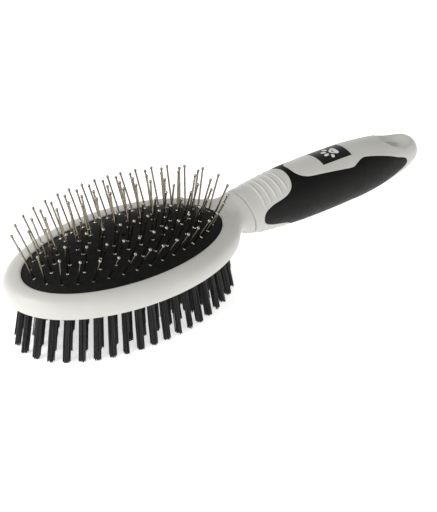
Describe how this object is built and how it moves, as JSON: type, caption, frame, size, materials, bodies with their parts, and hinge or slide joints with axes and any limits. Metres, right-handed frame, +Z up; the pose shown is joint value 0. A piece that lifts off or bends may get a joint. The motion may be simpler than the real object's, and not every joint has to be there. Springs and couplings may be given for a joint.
{
  "type": "double-sided grooming brush",
  "caption": "Oval double-sided grooming brush: ball-tipped wire pins on a sprung rubber cushion above, nylon bristle tufts below, and a two-tone handle with a hanging hole.",
  "frame": {"origin": "centre of the head, on the plane of the bristle tips", "axes": "+X along the handle away from the head, +Z up through the cushion and the pins, XZ is the plane of symmetry"},
  "size_m": [0.2249, 0.0692, 0.0554],
  "materials": {
    "light_plastic": "satin moulded plastic, warm light grey",
    "inner_plastic": "plain moulded plastic",
    "pad_rubber": "matte black rubber with a fine grain",
    "pin_wire": "drawn wire with a pale brassy tone, polished ball tips",
    "dark_plastic": "matte black moulded plastic",
    "nylon_bristle": "charcoal nylon filament",
    "grip_rubber": "soft black rubber, satin",
    "badge_enamel": "glossy black"
  },
  "bodies": {
    "brush_body": {"head_frame": "light_plastic", "pin_cushion": "pad_rubber", "divider_plate": "inner_plastic", "bristle_plate": "dark_plastic", "tufts_outer_back": "nylon_bristle", "tufts_outer_front": "nylon_bristle", "tufts_second_back": "nylon_bristle", "tufts_second_front": "nylon_bristle", "tufts_third_back": "nylon_bristle", "tufts_third_front": "nylon_bristle", "tufts_centre_row": "nylon_bristle", "handle_core": "light_plastic", "grip_sleeve": "grip_rubber", "badge_plate": "badge_enamel"},
    "inner_pins": {"pins_inner_back": "pin_wire", "pins_inner_front": "pin_wire"},
    "third_pins": {"pins_third_back": "pin_wire", "pins_third_front": "pin_wire"},
    "second_pins": {"pins_second_back": "pin_wire", "pins_second_front": "pin_wire"},
    "outer_pins": {"pins_outer_back": "pin_wire", "pins_outer_front": "pin_wire"}
  },
  "joints": [
    {"name": "pad_press", "type": "slide", "parent": "brush_body", "child": "inner_pins", "axis": [0, 0, 1], "range_m": [-0.003, 0], "stiffness_N_per_m": 2000, "deforming": ["pin_cushion"]},
    {"name": "third_press", "type": "slide", "parent": "brush_body", "child": "third_pins", "axis": [0, 0, 1], "range_m": [-0.003, 0], "stiffness_N_per_m": 2000},
    {"name": "second_press", "type": "slide", "parent": "brush_body", "child": "second_pins", "axis": [0, 0, 1], "range_m": [-0.003, 0], "stiffness_N_per_m": 2000},
    {"name": "outer_press", "type": "slide", "parent": "brush_body", "child": "outer_pins", "axis": [0, 0, 1], "range_m": [-0.003, 0], "stiffness_N_per_m": 2000}
  ],
  "couplings": [
    {"joint": "third_press", "follows": "pad_press", "ratio": 0.89},
    {"joint": "second_press", "follows": "pad_press", "ratio": 0.69},
    {"joint": "outer_press", "follows": "pad_press", "ratio": 0.37}
  ]
}
